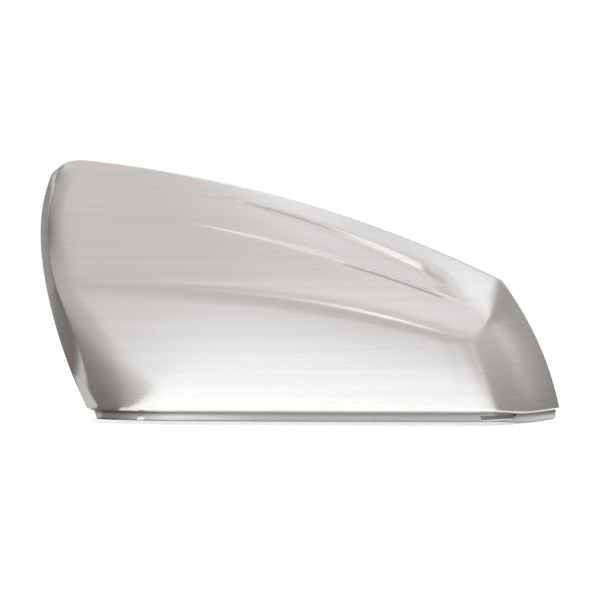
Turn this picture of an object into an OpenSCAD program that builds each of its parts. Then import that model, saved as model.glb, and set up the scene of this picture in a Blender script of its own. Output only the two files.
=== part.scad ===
// Clip-on cover for a car's wing mirror: one thin moulded shell.
// X runs along the cover, Y from the front face back to the open rim, Z up.
// The origin is under the middle of the cover, level with the bottom of its lip.
// The skin is a height field: every face is a depth that depends on x and z, and
// the skin is whichever face lies furthest back, with the meeting line rounded.

/* [Overall size] */
// Length from the left rim to the tip at the right
cover_length = 247; // [215:1:280]
// Depth from the front face back to the open rim
cover_depth = 74; // [62:1:88]
// Height from the lip's lowest point to the crown
cover_height = 123.1; // [112:0.1:134]
// Thickness of the moulded wall
wall = 2.8; // [2.4:0.1:3.4]

/* [Outline seen from the front] */
// Heights of the crown's four handles, spread evenly from left to right
crown_heights = [124.7, 119, 96.7, 51.5]; // [40:0.5:140]
// Heights of the belt crease's four handles, from left to right
belt_heights = [62.2, 66.2, 58.2, 21.2]; // [15:0.5:75]
// Distances of the left rim from the left end at four handles, from the bottom up
left_insets = [24.2, 8.4, -11.2, 8.3]; // [-14:0.1:30]
// Distances of the right rim from the right end at four handles, from the bottom up
right_insets = [0, 4, 12.5, 27.5]; // [0:0.1:40]
// Widths of the left return wall as seen from the front, from the bottom up
return_widths = [7.5, 16.3, 1.7, 4.7]; // [-4:0.5:24]
// Radius of the outline's upper left corner
corner_round = 20; // [12:0.5:26]

/* [Faces] */
// Place along X where the front face is foremost
front_apex_x = 45; // [20:1:60]
// Radius in plan of the front face to the left of its foremost line
front_radius_left = 900; // [700:10:1500]
// Radius in plan of the front face to the right of its foremost line
front_radius_right = 700; // [500:10:1500]
// Radius in section of the front face where it tucks in below the belt
tuck_radius = 260; // [200:10:500]
// Radius with which the front face turns in towards its left end
turn_radius = 52; // [35:1:80]
// Radius with which the upper face turns in towards its left end
shoulder_radius = 9; // [7:0.5:14]
// Width of that turn on the upper face
shoulder_w = 8; // [5:0.5:12]
// Radius of the turn beside the flute's right end
right_shoulder_radius = 60; // [40:5:120]
// Radii that soften the belt crease, at its left end and along the rest
belt_rounds = [2, 6]; // [1:0.5:10]
// Radii that soften the edge of the end wall: below the belt, above it, at the crown
end_rounds = [8, 2, 16]; // [1.5:0.5:18]
// Width of the end wall at its foot, seen from the front
end_span = 45.5; // [38:0.5:50]
// How far the left rim sweeps forward at its foot
rim_sweep = 40; // [30:1:44]
// Height at which that sweep begins
sweep_top = 89; // [75:1:100]
// Height of the underside facet at the left rim
facet_h = 16; // [10:1:20]

/* [Flute in the upper face] */
// Drop of the flute's upper edge below the crown at four handles
flute_top_drops = [6, 6.5, 7, 9]; // [5:0.5:10]
// Drop of the flute's lower edge below the crown at four handles
flute_foot_drops = [22.5, 24.5, 21.5, 18.5]; // [16:0.5:27]
// Depth of the flute near its rounded end
flute_depth = 11; // [7:0.5:12]
// Place along X of the flute's rounded end
flute_end_x = 74; // [55:1:78]
// Place along X where the flute fades into the face
flute_fade_x = -62; // [-80:1:-30]
// Height of the wall at the flute's upper edge, near the rounded end
flute_wall_h = 6.5; // [5:0.5:7.5]

/* [Lip] */
// Height of the inset lip under the skin
lip_h = 4.5; // [3.5:0.1:6]
// How much lower skin and lip end at the right than in front
foot_drop = 1.7; // [0:0.1:2]
// Inset of the lip from the skin
lip_inset = 1.5; // [1.2:0.1:1.6]
// Size of the bevel along the skin's lower edge
edge_bevel = 0.8; // [0.5:0.1:1]
// Length of the clip window in the lip
window_l = 18; // [10:1:18]
// Height of the clip window
window_h = 2.4; // [2:0.1:2.6]
// Place along X of the clip window's left end
window_x = 82; // [70:1:84]

// Height of the brace that closes the corner behind the clip window
brace_h = 10; // [7:0.5:14]
// Thickness of that brace
brace_t = 1.8; // [1.4:0.1:2.4]

/* [Locating pins] */
// Diameter of the locating pins
pin_d = 5; // [4:0.5:6]
// Free length of the locating pins
pin_l = 12; // [8:1:14]
// Diameter of the boss that carries a pin
boss_d = 10; // [9:0.5:12]
// Distance of the bosses' shoulders in front of the rim
boss_back = 42; // [38:1:46]
// Place along X of the left pin
left_pin_x = -62; // [-70:1:-50]
// Place along X of the right pin
right_pin_x = 48; // [35:1:58]
// Height of both pins above the lip's bottom
pin_z = 31; // [26:1:34]

/* [Snap hooks] */
// Width of a snap hook
hook_w = 10; // [6:0.5:12]
// Thickness of a snap hook's tongue
hook_t = 2; // [1.6:0.1:2.6]
// Depth of the catch at a hook's end
catch_h = 1.6; // [1:0.1:2]
// Gap between a hook's end and the rim's plane
hook_gap = 3; // [2:0.5:6]
// Length of the lower hooks behind the lip
lower_hook_l = 14; // [10:1:18]

/* [Stiffening ribs] */
// Thickness of the ribs
rib_t = 1.4; // [1:0.1:2]
// Height of the ribs from the wall
rib_h = 5; // [3:0.5:7]

/* [Hidden] */
$fn = 48;

rim_y = cover_depth / 2;
left_end = -cover_length / 2;
skin_foot = lip_h + foot_drop;
embed = wall / 2;

// Front face: where it begins to turn in at the left, and where its tuck begins
turn_reach = 74.7;
turn_lean = 0.84;
tuck_lead = 4;
// Upper face: share of its depth that comes as a bend, growing to the right
bend_left = 0.1;
bend_gain = 0.3;
bend_start = 13;
bend_l = 140;
// End wall: depth, curve, and how its width shrinks with height
end_overshoot = 2;
end_depth = cover_depth + end_overshoot;
end_power = 1.75;
end_narrowing = 0.12;
end_min_w = 3;
// Underside facet at the left, and the flute's ends
facet_slope = 0.5;
wall_curve = 1.5;
flute_end_l = 10;
flute_end_gap = 2;
flute_fade_l = 134;
flute_growth = 1.6;
flute_end_lean = 0.35;
ledge_h = 1;
// Share of a ramp that its rounded ends take
ramp_round = 0.4;
// Least share of the flute wall's full height
flute_least = 0.15;
// Lengths over which the belt and the end wall's edge change their radius
belt_crisp_l = 12;
belt_blend_l = 60;
end_blend_h = 8;
// Shares of the upper face's height between which the end's edge grows soft
soft_from = 0.15;
soft_to = 0.8;
// Near the rim that edge grows crisp again, in step with the depth that is left
room_gain = 5;
least_room = 0.02;
// Lip
lip_stub = 0.4;
lip_start_gap = 3;
lip_start_l = 2.2;
drop_x = 84;
drop_l = 26;
groove = 0.8;
lip_corner = 3;
lip_corner_lift = 0.6;
window_slant = 1;
window_gap = 0.5;
brace_reach = 6;
brace_z = 7;
// Pins, hooks and ribs
pin_tip = 0.8;
pin_root = 1;
hook_drop = 14;
rib_steps = 6;
rib_rise = 0.9;
rib_sink = 0.2;
rib_foot_gap = 5;
rib_belt_gap = 8;

// How far the inner surface steps in for each mm of wall, where a face slants
front_slant = 1.05;
end_slant = 1.08;
left_slant = 1.08;
crease_slant = 0.75;
right_slant = 1.14;
crown_slant = 1.1;
// How far from the ends the rims are looked for, inward and outward
search_in = 60;
search_out = 5;

// Columns on the left wall, the front and the end wall, and rows in each band
wall_columns = 4;
front_columns = 52;
end_columns = 13;
band_rows = [10, 7, 1, 4, 3, 3];
column_crowding = 1.25;

upper_hook_x = [-82, -34, 14, 58];
lower_hook_x = [-70, -8, 66];
rib_x = [-36, -8, 20];

// Cubic through four handles
function bow(h, t) =
    let (u = 1 - t)
    h[0] * pow(u, 3) + 3 * h[1] * t * u * u + 3 * h[2] * t * t * u + h[3] * pow(t, 3);

// Smooth step from 0 to 1
function ease(t) =
    let (u = min(max(t, 0), 1))
    u * u * u * (u * (6 * u - 15) + 10);

// Larger of two depths, with their meeting rounded over a width k
function round_max(a, b, k) =
    let (h = max(k - abs(a - b), 0) / k)
    max(a, b) + h * h * h * k / 6;

// Straight climb from 0 to 1, with its ends rounded
function ramp(t) = round_max(t, 0, ramp_round) - round_max(t - 1, 0, ramp_round);

// Place where a rising function crosses zero
function crossing(f, lo, hi, n = 24) =
    let (m = (lo + hi) / 2)
    n == 0 ? m : f(m) > 0 ? crossing(f, lo, m, n - 1) : crossing(f, m, hi, n - 1);

// Lines that guide the outline, in the front view
function along(x) = x / cover_length + 0.5;
function crown_line(x) = bow(crown_heights, along(x));
function belt_line(x) = bow(belt_heights, along(x));
function flute_top(x) = crown_line(x) - bow(flute_top_drops, along(x));
function flute_foot(x) = crown_line(x) - bow(flute_foot_drops, along(x));

corner_drop = 2;
left_top = crown_heights[0] - corner_drop;
right_top = crown_line(cover_length / 2 - right_insets[3]);
function left_share(z) = (z - skin_foot) / (left_top - skin_foot);
function left_rim(z) = left_end + bow(left_insets, left_share(z));
function left_crease(z) = left_rim(z) + bow(return_widths, left_share(z));
function right_rim(z) =
    cover_length / 2 - bow(right_insets, (z - lip_h) / (right_top - lip_h));

corner_x = left_rim(left_top - corner_round) + corner_round;
function crown(x) =
    let (d = min(max((corner_x - x) / corner_round, 0), 0.999))
    crown_line(x) - corner_round * (1 - sqrt(1 - d * d));

// Faces of the skin, each a depth y at a place x, z
function front_turn_x(z) = left_end + turn_reach - turn_lean * z;
function front_face(x, z) =
    let (
        plan = x < front_apex_x
            ? pow(front_apex_x - x, 2) / (2 * front_radius_left)
            : pow(x - front_apex_x, 2) / (2 * front_radius_right),
        turn = pow(max(front_turn_x(z) - x, 0), 2) / (2 * turn_radius),
        tuck = pow(max(belt_line(x) + tuck_lead - z, 0), 2) / (2 * tuck_radius)
    )
    -rim_y + plan + turn + tuck;

function upper_bend(x) = bend_left + bend_gain * ease((x - left_end - bend_start) / bend_l);
function upper_share(x, z) = (z - belt_line(x)) / (crown_line(x) - belt_line(x));
function belt_depth(x) = front_face(x, belt_line(x));
function flute_end(z) = flute_end_x - flute_end_lean * (z - flute_foot(flute_end_x));
function upper_face(x, z) =
    let (
        t = upper_share(x, z),
        bend = upper_bend(x),
        shoulder = pow(max(left_crease(z) + shoulder_w - x, 0), 2) / (2 * shoulder_radius),
        right = pow(max(x - flute_end(z) - flute_end_gap, 0), 2) / (2 * right_shoulder_radius),
        y = belt_depth(x) + (rim_y - belt_depth(x)) * ((1 - bend) * t + bend * t * abs(t))
    )
    y + shoulder * ease(2 * t) * ease(4 * (1 - t)) + right * ease(2 * t);
function upper_slope(x, z) =
    let (bend = upper_bend(x), t = abs(upper_share(x, z)))
    (rim_y - belt_depth(x)) * (1 - bend + 2 * bend * t) / (crown_line(x) - belt_line(x));

function end_share(x, z) =
    1 - (right_rim(z) - x) / (end_span - end_narrowing * (z - skin_foot));
function end_face(x, z) =
    let (s = end_share(x, z))
    rim_y - end_depth * (1 - sign(s) * pow(abs(s), end_power));
function end_slope(x, z) =
    end_depth * end_power * pow(abs(end_share(x, z)), end_power - 1) / end_span;

// The flute grows to the right. It steps back at a sharp lower ledge, and returns in a
// straight upper wall whose height grows with its depth, so that its slope stays the same.
function flute_share(x) =
    pow(min(max((x - flute_fade_x) / flute_fade_l, 0), 1), flute_growth);
function flute_wall(x) = flute_wall_h * max(flute_share(x), flute_least);
function flute(x, z, t) =
    flute_depth * flute_share(x) * ramp((flute_end(z) - x) / flute_end_l)
        * ease((z - flute_foot(x) + t) / ledge_h) * ramp((flute_top(x) - z) / flute_wall(x));

// Radii of the belt and of the end wall's edge at a place
function belt_rounding(x) = belt_rounds[0]
    + (belt_rounds[1] - belt_rounds[0]) * ease((x - left_end - belt_crisp_l) / belt_blend_l);
function end_rounding(x, z) = end_rounds[0]
    + (end_rounds[1] - end_rounds[0]) * ease((z - belt_line(x)) / end_blend_h + 0.5)
    + (end_rounds[2] - end_rounds[1])
        * ease((upper_share(x, z) - soft_from) / (soft_to - soft_from));

// Depth of the surface that lies t inside the skin
function steepness(s) = sqrt(1 + s * s);
function skin(x, z, t = 0) =
    let (
        front = front_face(x, z) + front_slant * t,
        upper = upper_face(x, z) + steepness(front_slant * upper_slope(x, z)) * t,
        end = end_face(x, z) + steepness(end_slant * end_slope(x, z)) * t,
        face = round_max(front, upper, belt_rounding(x)) + flute(x, z, t),
        room = max(rim_y - max(face, end), least_room)
    )
    round_max(face, end, min(end_rounding(x, z), room_gain * room));

// Left rim's depth, and the ruled wall between crease and rim
function left_rim_y(z) = rim_y - rim_sweep * ease((sweep_top - z) / (sweep_top - skin_foot));
function left_wall(share, crease_y, z) =
    crease_y + (left_rim_y(z) - crease_y) * pow(share, wall_curve)
        + facet_slope * max(skin_foot + facet_h * share - z, 0);

// The skin's lower edge falls a little towards the right end
function foot_z(x) = skin_foot - foot_drop * ease((x - drop_x) / drop_l);

// Height at x of the row that lies b bands up, t inside the skin
function rails(x, t) = [
    foot_z(x) + edge_bevel,
    belt_line(x) - t / 2,
    flute_foot(x) - t,
    flute_foot(x) - t + ledge_h,
    flute_top(x) - flute_wall(x),
    flute_top(x) - t / 4,
    crown_line(x)
];
function row_z(x, b, t) =
    let (
        r = rails(x, t),
        i = min(floor(b), len(r) - 2),
        z = r[i] + (r[i + 1] - r[i]) * (b - i),
        top = crown(x) - crown_slant * t
    )
    b <= 1 ? z : r[1] + (z - r[1]) * (top - r[1]) / (crown_line(x) - r[1]);

// Four stations of a row: left rim, crease, edge of the end wall, right rim
function stations(b, t) =
    let (
        left = crossing(function (x) x - left_rim(row_z(x, b, t)) - left_slant * t,
            left_end - search_out, left_end + search_in),
        crease = crossing(function (x) x - left_crease(row_z(x, b, t)) - crease_slant * t,
            left_end - search_out, left_end + search_in),
        right = crossing(function (x) x - right_rim(row_z(x, b, t)) + right_slant * t,
            cover_length / 2 - search_in, cover_length / 2 + search_out),
        edge = crossing(function (x) let (z = row_z(x, b, t))
                end_face(x, z) - max(front_face(x, z), upper_face(x, z)),
            right - end_span, right)
    )
    [left, crease, min(edge, right - end_min_w), right];

front_shares = [for (i = [0 : front_columns - 1]) pow(i / front_columns, column_crowding)];
function column_x(s) = concat(
    [for (i = [0 : wall_columns - 1]) s[0] + (s[1] - s[0]) * i / wall_columns],
    [for (f = front_shares) s[1] + (s[2] - s[1]) * f],
    [for (i = [0 : end_columns]) s[2] + (s[3] - s[2]) * i / end_columns]
);

// One row of the surface t inside the skin, as points from the left rim to the right
function surface_row(b, t) =
    let (
        s = stations(b, t),
        crease_z = row_z(s[1], b, t),
        crease_y = min(skin(s[1], crease_z, t), rim_y)
    )
    [for (x = column_x(s))
        let (z = row_z(x, b, t), share = (s[1] - x) / (s[1] - s[0]))
        [x, share > 0 ? left_wall(share, crease_y, z) : min(skin(x, z, t), rim_y), z]];

bands = [for (i = [0 : len(band_rows) - 1], k = [0 : band_rows[i] - 1]) i + k / band_rows[i]];
rows = concat(bands, [len(band_rows)]);

// The lip's bottom at a point of the skin's lower edge
lip_start_x = left_rim(skin_foot) + lip_start_gap;
lip_end_x = right_rim(lip_h);
function lip_z(x) =
    let (
        start = ease((x - lip_start_x) / lip_start_l),
        d = min(max((x - lip_end_x + lip_inset + lip_corner) / lip_corner, 0), 1)
    )
    foot_z(x) - lip_stub - (lip_h - lip_stub) * start
        + lip_corner_lift * lip_corner * (1 - sqrt(1 - d * d));

function dropped(row) = [for (p = row) [p.x, p.y, lip_z(p.x)]];
function above_foot(row, h) = [for (p = row) [p.x, p.y, foot_z(p.x) + h]];

outer_rows = [for (b = rows) surface_row(b, 0)];
inner_rows = [for (b = rows) surface_row(b, wall)];
bevel_row = above_foot(surface_row(0, edge_bevel), 0);
lip_row = surface_row(0, lip_inset);
outer_side = concat(
    [dropped(lip_row), above_foot(lip_row, groove), bevel_row], outer_rows);
inner_side = concat([dropped(inner_rows[0]), above_foot(inner_rows[0], -lip_stub / 2),
    above_foot(inner_rows[0], 0)], inner_rows);

// Closed shell: a loop of rows in every column, and a strip that closes each end
module swept_shell(outside, inside) {
    m = len(outside);
    k = len(inside);
    loop = concat(outside, [for (i = [k - 1 : -1 : 0]) inside[i]]);
    n = m + k;
    columns = len(loop[0]);
    points = [for (c = [0 : columns - 1], r = [0 : n - 1]) loop[r][c]];
    sides = [for (c = [0 : columns - 2], r = [0 : n - 1])
        let (a = c * n + r, b = c * n + (r + 1) % n)
        each [[a, b, b + n], [a, b + n, a + n]]];
    function cap(base, flip) = [for (r = [0 : m - 2])
        let (a = base + r, b = base + r + 1, p = base + n - 1 - r, q = base + n - 2 - r)
        each flip ? [[a, p, b], [b, p, q]] : [[a, b, p], [b, q, p]]];
    polyhedron(points, concat(sides, cap(0, true), cap((columns - 1) * n, false)));
}

module shell() {
    difference() {
        swept_shell(outer_side, inner_side);
        clip_window();
    }
}

// Window in the lip for a clip of the housing, with slanted ends
module clip_window() {
    translate([window_x, 0, foot_drop + window_gap])
        rotate([90, 0, 0])
        linear_extrude(height = rim_y)
        polygon([[window_slant, 0], [window_l - 2 * window_slant, 0],
            [window_l, window_h], [0, window_h]]);
}

// Middle of the wall at a place x, z
function wall_middle(x, z) = skin(x, z, embed);

// Brace across the corner behind the clip window, from the front wall to the end wall
module corner_brace() {
    left_x = window_x - brace_reach;
    right_x = window_x + window_l + brace_reach;
    left = [left_x, wall_middle(left_x, brace_z)];
    right = [right_x, wall_middle(right_x, brace_z)];
    translate([0, 0, foot_drop + window_gap])
        linear_extrude(height = brace_h)
        polygon([left, right, right + [-brace_t, 0], left + [0, brace_t]]);
}

// Boss on the front wall with a round pin that enters the housing
module locating_pin(x) {
    shoulder_y = rim_y - boss_back;
    root_y = wall_middle(x, pin_z);
    translate([x, root_y, pin_z])
        rotate([-90, 0, 0])
        cylinder(d = boss_d, h = shoulder_y - root_y);
    translate([x, shoulder_y - pin_root, pin_z])
        rotate([-90, 0, 0]) {
            cylinder(d = pin_d, h = pin_root + pin_l - pin_tip);
            translate([0, 0, pin_root + pin_l - pin_tip])
                cylinder(d1 = pin_d, d2 = pin_d - 2 * pin_tip, h = pin_tip);
        }
}

// Solid between two outlines of as many points, one at each side of a fin
module lofted_fin(left, right) {
    n = len(left);
    cap = [for (i = [0 : n - 1]) i];
    polyhedron(
        concat(left, right),
        concat(
            [cap, [for (i = [n - 1 : -1 : 0]) n + i]],
            [for (i = [0 : n - 1])
                let (j = (i + 1) % n)
                each [[i, n + i, j], [j, n + i, n + j]]]
        )
    );
}

// Snap hook under the roof: a tongue that runs back to a catch short of the rim
function upper_hook_outline(x, z) =
    let (tip = rim_y - hook_gap)
    [
        [x, wall_middle(x, z), z],
        [x, tip - 2 * catch_h, z],
        [x, tip - 2 * catch_h, z - catch_h],
        [x, tip, z],
        [x, tip, z + hook_t],
        [x, wall_middle(x, z + hook_t), z + hook_t]
    ];
module upper_hook(x) {
    z = crown_line(x) - hook_drop;
    lofted_fin(upper_hook_outline(x - hook_w / 2, z), upper_hook_outline(x + hook_w / 2, z));
}

// Snap hook behind the lip, level with it
hook_z = foot_drop + lip_stub;
function lower_hook_outline(x) =
    let (root = skin(x, skin_foot + edge_bevel, (lip_inset + wall) / 2), tip = root + lower_hook_l)
    [
        [x, root, hook_z],
        [x, tip, hook_z],
        [x, tip, hook_z + hook_t],
        [x, tip - 2 * catch_h, hook_z + hook_t + catch_h],
        [x, tip - 2 * catch_h, hook_z + hook_t],
        [x, root, hook_z + hook_t]
    ];
module lower_hook(x) {
    lofted_fin(lower_hook_outline(x - hook_w / 2), lower_hook_outline(x + hook_w / 2));
}

// Upright rib on the inside of the front wall, its ends sloping into the wall
function rib_crest(i) =
    rib_h * min(1, rib_rise * i - rib_sink, rib_rise * (rib_steps - i) - rib_sink);
function rib_outline(x) =
    let (
        foot = skin_foot + rib_foot_gap,
        step = (belt_line(x) - rib_belt_gap - foot) / rib_steps,
        z = [for (i = [0 : rib_steps]) foot + i * step]
    )
    concat(
        [for (i = [0 : rib_steps]) [x, skin(x, z[i], wall) + rib_crest(i), z[i]]],
        [for (i = [rib_steps : -1 : 0]) [x, wall_middle(x, z[i]), z[i]]]
    );
module rib(x) {
    lofted_fin(rib_outline(x - rib_t / 2), rib_outline(x + rib_t / 2));
}

// Shell with its hooks and ribs, brought to its exact length, depth and height
module moulding() {
    resize([cover_length, cover_depth, cover_height])
        union() {
            shell();
            for (x = upper_hook_x) upper_hook(x);
            for (x = lower_hook_x) lower_hook(x);
            for (x = rib_x) rib(x);
            corner_brace();
        }
}

module mirror_cover() {
    color("gainsboro")
    union() {
        moulding();
        for (x = [left_pin_x, right_pin_x]) locating_pin(x);
    }
}

mirror_cover();
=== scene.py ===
# %% [markdown]
# # A wing mirror cover in satin plating
# A wing mirror cover is one thin moulding that clips over the front of a mirror housing.
# This lesson dresses its CAD solid: it rebuilds the skin with a much finer surface, rounds the edges
# that a mould rounds, plates it with a brushed satin finish, and sets up a white studio.
# The frame comes first, because it says where everything is.

import math

import bmesh
import bpy
import numpy as np
from mathutils import Matrix, Vector


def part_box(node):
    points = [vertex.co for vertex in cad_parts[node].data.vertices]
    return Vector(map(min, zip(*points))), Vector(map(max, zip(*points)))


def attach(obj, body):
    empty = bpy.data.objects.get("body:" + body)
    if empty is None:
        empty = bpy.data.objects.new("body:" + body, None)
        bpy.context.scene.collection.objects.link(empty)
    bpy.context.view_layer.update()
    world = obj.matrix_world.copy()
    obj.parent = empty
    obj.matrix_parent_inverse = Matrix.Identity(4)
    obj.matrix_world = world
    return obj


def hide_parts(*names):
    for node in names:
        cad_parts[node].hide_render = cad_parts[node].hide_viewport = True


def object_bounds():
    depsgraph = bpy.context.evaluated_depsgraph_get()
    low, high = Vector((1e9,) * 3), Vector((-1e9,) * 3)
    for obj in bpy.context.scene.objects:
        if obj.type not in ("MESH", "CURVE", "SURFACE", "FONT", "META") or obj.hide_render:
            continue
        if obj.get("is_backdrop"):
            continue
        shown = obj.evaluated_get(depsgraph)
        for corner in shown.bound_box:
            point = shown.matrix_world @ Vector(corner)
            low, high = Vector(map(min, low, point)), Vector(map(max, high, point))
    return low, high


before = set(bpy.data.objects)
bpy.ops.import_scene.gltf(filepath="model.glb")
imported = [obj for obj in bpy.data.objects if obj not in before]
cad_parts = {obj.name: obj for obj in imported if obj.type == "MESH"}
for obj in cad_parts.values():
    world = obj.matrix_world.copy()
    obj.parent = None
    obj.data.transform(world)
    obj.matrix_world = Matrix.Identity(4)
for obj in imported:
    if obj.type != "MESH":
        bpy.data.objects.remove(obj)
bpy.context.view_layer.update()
cover_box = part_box("mirror_cover")
MM = 0.001

# %% [markdown]
# ## The camera
# A catalogue picture keeps the cover's lines almost parallel. An orthographic camera would do that too,
# but a real lens still sees a little perspective, so this is a long lens from far away. It stands at the
# height of the cover's middle and looks straight at its front, a touch from above.

# %% Place the camera
CAMERA_DISTANCE = 1.600
CAMERA_ELEVATION = math.radians(0.8)
TARGET_HEIGHT = 0.05703
LENS_MM = 206.26
SENSOR_WIDTH_MM = 36.0
NEAR_CLIP = 0.05


def make_camera():
    lens = bpy.data.cameras.new("catalogue_camera")
    lens.lens = LENS_MM
    lens.sensor_width = SENSOR_WIDTH_MM
    lens.clip_start = NEAR_CLIP
    camera = bpy.data.objects.new("catalogue_camera", lens)
    back = CAMERA_DISTANCE * math.cos(CAMERA_ELEVATION)
    rise = CAMERA_DISTANCE * math.sin(CAMERA_ELEVATION)
    camera.location = (0.0, -back, TARGET_HEIGHT + rise)
    camera.rotation_euler = (math.radians(90) - CAMERA_ELEVATION, 0.0, 0.0)
    bpy.context.scene.collection.objects.link(camera)
    bpy.context.scene.camera = camera
    return camera


camera = make_camera()
print("camera at", [round(v, 3) for v in camera.location])

# %% [markdown]
# ## Curves for the outline
# The crown, the belt crease and both rims of the real cover are long bows without a straight stretch.
# They could be drawn as curve objects, but the faces between them are formulas, so the bows are too:
# each is a cubic through four handles, spread evenly. A smooth step fades one form into the next, and
# a rounded maximum joins two faces with a soft edge.

# %% Curve helpers


def bow(handles, t):
    """A cubic curve through four handles, for t from 0 to 1."""
    u = 1 - t
    start = handles[0] * u**3 + 3 * handles[1] * t * u * u
    return start + 3 * handles[2] * t * t * u + handles[3] * t**3


def ease(t):
    """A smooth step from 0 to 1."""
    u = np.clip(t, 0, 1)
    return u * u * u * (u * (6 * u - 15) + 10)


def round_max(a, b, width):
    """The larger of two values, rounded where they lie within a width of each other."""
    share = np.maximum(width - np.abs(a - b), 0) / width
    return np.maximum(a, b) + share**3 * width / 6


def ramp(t, rounding):
    """A straight climb from 0 to 1 with its ends rounded."""
    return round_max(t, 0, rounding) - round_max(t - 1, 0, rounding)


def crossing(rising, low, high, steps=30):
    """Where a rising function of arrays crosses zero, by halving the interval."""
    for _ in range(steps):
        middle = (low + high) / 2
        above = rising(middle) > 0
        high = np.where(above, middle, high)
        low = np.where(above, low, middle)
    return (low + high) / 2


print("a quarter of the way, the smooth step is at", round(float(ease(0.25)), 3))

# %% Sizes of the cover, in mm
# A bow's four handles go from the left end to the right one, or from the foot to the crown.
LENGTH = 247.0
DEPTH = 74.0
WALL = 2.8
CROWN = (124.7, 119.0, 96.7, 51.5)
BELT = (62.2, 66.2, 58.2, 21.2)
LEFT_INSETS = (24.2, 8.4, -11.2, 8.3)
RIGHT_INSETS = (0.0, 4.0, 12.5, 27.5)
RETURN_WIDTHS = (7.5, 16.3, 1.7, 4.7)
CORNER_ROUND = 20.0
CORNER_DROP = 2.0
FULL_REACH = 0.999
FLUTE_TOP_DROPS = (6.0, 6.5, 7.0, 9.0)
FLUTE_FOOT_DROPS = (22.5, 24.5, 21.5, 18.5)
LIP_HEIGHT = 4.5
FOOT_DROP = 1.7
FOOT = LIP_HEIGHT + FOOT_DROP
LIP_INSET = 1.5
EDGE_BEVEL = 0.8
RIM_Y = DEPTH / 2
LEFT_END = -LENGTH / 2
RIGHT_END = LENGTH / 2
LEFT_TOP = CROWN[0] - CORNER_DROP
print("length, depth and wall:", LENGTH, DEPTH, WALL, "mm")

# %% Lines of the outline


def crown_line(x):
    return bow(CROWN, x / LENGTH + 0.5)


def belt_line(x):
    return bow(BELT, x / LENGTH + 0.5)


def flute_top(x):
    return crown_line(x) - bow(FLUTE_TOP_DROPS, x / LENGTH + 0.5)


def flute_foot(x):
    return crown_line(x) - bow(FLUTE_FOOT_DROPS, x / LENGTH + 0.5)


RIGHT_TOP = crown_line(RIGHT_END - RIGHT_INSETS[3])


def left_rim(z):
    return LEFT_END + bow(LEFT_INSETS, (z - FOOT) / (LEFT_TOP - FOOT))


def left_crease(z):
    return left_rim(z) + bow(RETURN_WIDTHS, (z - FOOT) / (LEFT_TOP - FOOT))


def right_rim(z):
    return RIGHT_END - bow(RIGHT_INSETS, (z - LIP_HEIGHT) / (RIGHT_TOP - LIP_HEIGHT))


CORNER_X = left_rim(LEFT_TOP - CORNER_ROUND) + CORNER_ROUND


def crown(x):
    """The crown line with its rounded corner at the left."""
    reach = np.clip((CORNER_X - x) / CORNER_ROUND, 0, FULL_REACH)
    return crown_line(x) - CORNER_ROUND * (1 - np.sqrt(1 - reach * reach))


print("in the middle: crown", round(float(crown(0.0)), 1), "mm, belt", round(float(belt_line(0.0)), 1), "mm")

# %% [markdown]
# ## The faces of the skin
# The real skin is a few large, gently bent faces: a front that tucks in under the belt crease, an upper
# face that leans back to the crown, and an end wall at the right. Each face is written as a depth over
# the front view. The skin is whichever face lies furthest back, with the meeting line rounded. It could
# be pushed about by hand in sculpt mode, but then it would no longer match the CAD solid.

# %% The front face
FRONT_APEX_X = 45.0
FRONT_RADIUS_LEFT = 900.0
FRONT_RADIUS_RIGHT = 700.0
TUCK_RADIUS = 260.0
TUCK_START = 4.0
TURN_RADIUS = 52.0
TURN_START = 74.7
TURN_LEAN = 0.84


def front_face(x, z):
    """Bent in plan about its foremost line, turned back at the left and tucked in under the belt."""
    radius = np.where(x < FRONT_APEX_X, FRONT_RADIUS_LEFT, FRONT_RADIUS_RIGHT)
    plan = (FRONT_APEX_X - x) ** 2 / (2 * radius)
    turn_x = LEFT_END + TURN_START - TURN_LEAN * z
    turn = np.maximum(turn_x - x, 0) ** 2 / (2 * TURN_RADIUS)
    tuck = np.maximum(belt_line(x) + TUCK_START - z, 0) ** 2 / (2 * TUCK_RADIUS)
    return -RIM_Y + plan + turn + tuck


print("front face at the middle of the belt: y", round(float(front_face(0.0, belt_line(0.0))), 1), "mm")

# %% The upper face
SHOULDER_RADIUS = 9.0
SHOULDER_WIDTH = 8.0
RIGHT_SHOULDER_RADIUS = 60.0
FLUTE_END_X = 74.0
FLUTE_END_LEAN = 0.35
FLUTE_END_GAP = 2.0
BEND_AT_LEFT = 0.1
BEND_GROWTH = 0.3
BEND_START = 13.0
BEND_LENGTH = 140.0
# A shoulder fades out over 1 / fade of the face's height, at the belt and at the crown.
BELT_FADE = 2
LEFT_CROWN_FADE = 4
RIGHT_CROWN_FADE = 3


def flute_end(z):
    return FLUTE_END_X - FLUTE_END_LEAN * (z - flute_foot(FLUTE_END_X))


def upper_bend(x):
    return BEND_AT_LEFT + BEND_GROWTH * ease((x - LEFT_END - BEND_START) / BEND_LENGTH)


def upper_share(x, z):
    """0 at the belt and 1 at the crown."""
    return (z - belt_line(x)) / (crown_line(x) - belt_line(x))


def upper_face(x, z):
    """Leans back from the belt to the crown, with a shoulder at each end."""
    belt_y = front_face(x, belt_line(x))
    t = upper_share(x, z)
    bend = upper_bend(x)
    shoulder = np.maximum(left_crease(z) + SHOULDER_WIDTH - x, 0) ** 2 / (2 * SHOULDER_RADIUS)
    right = np.maximum(x - flute_end(z) - FLUTE_END_GAP, 0) ** 2 / (2 * RIGHT_SHOULDER_RADIUS)
    y = belt_y + (RIM_Y - belt_y) * ((1 - bend) * t + bend * t * np.abs(t))
    left_share = ease(BELT_FADE * t) * ease(LEFT_CROWN_FADE * (1 - t))
    right_share = ease(BELT_FADE * t) * ease(RIGHT_CROWN_FADE * (1 - t))
    return y + shoulder * left_share + right * right_share


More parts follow.
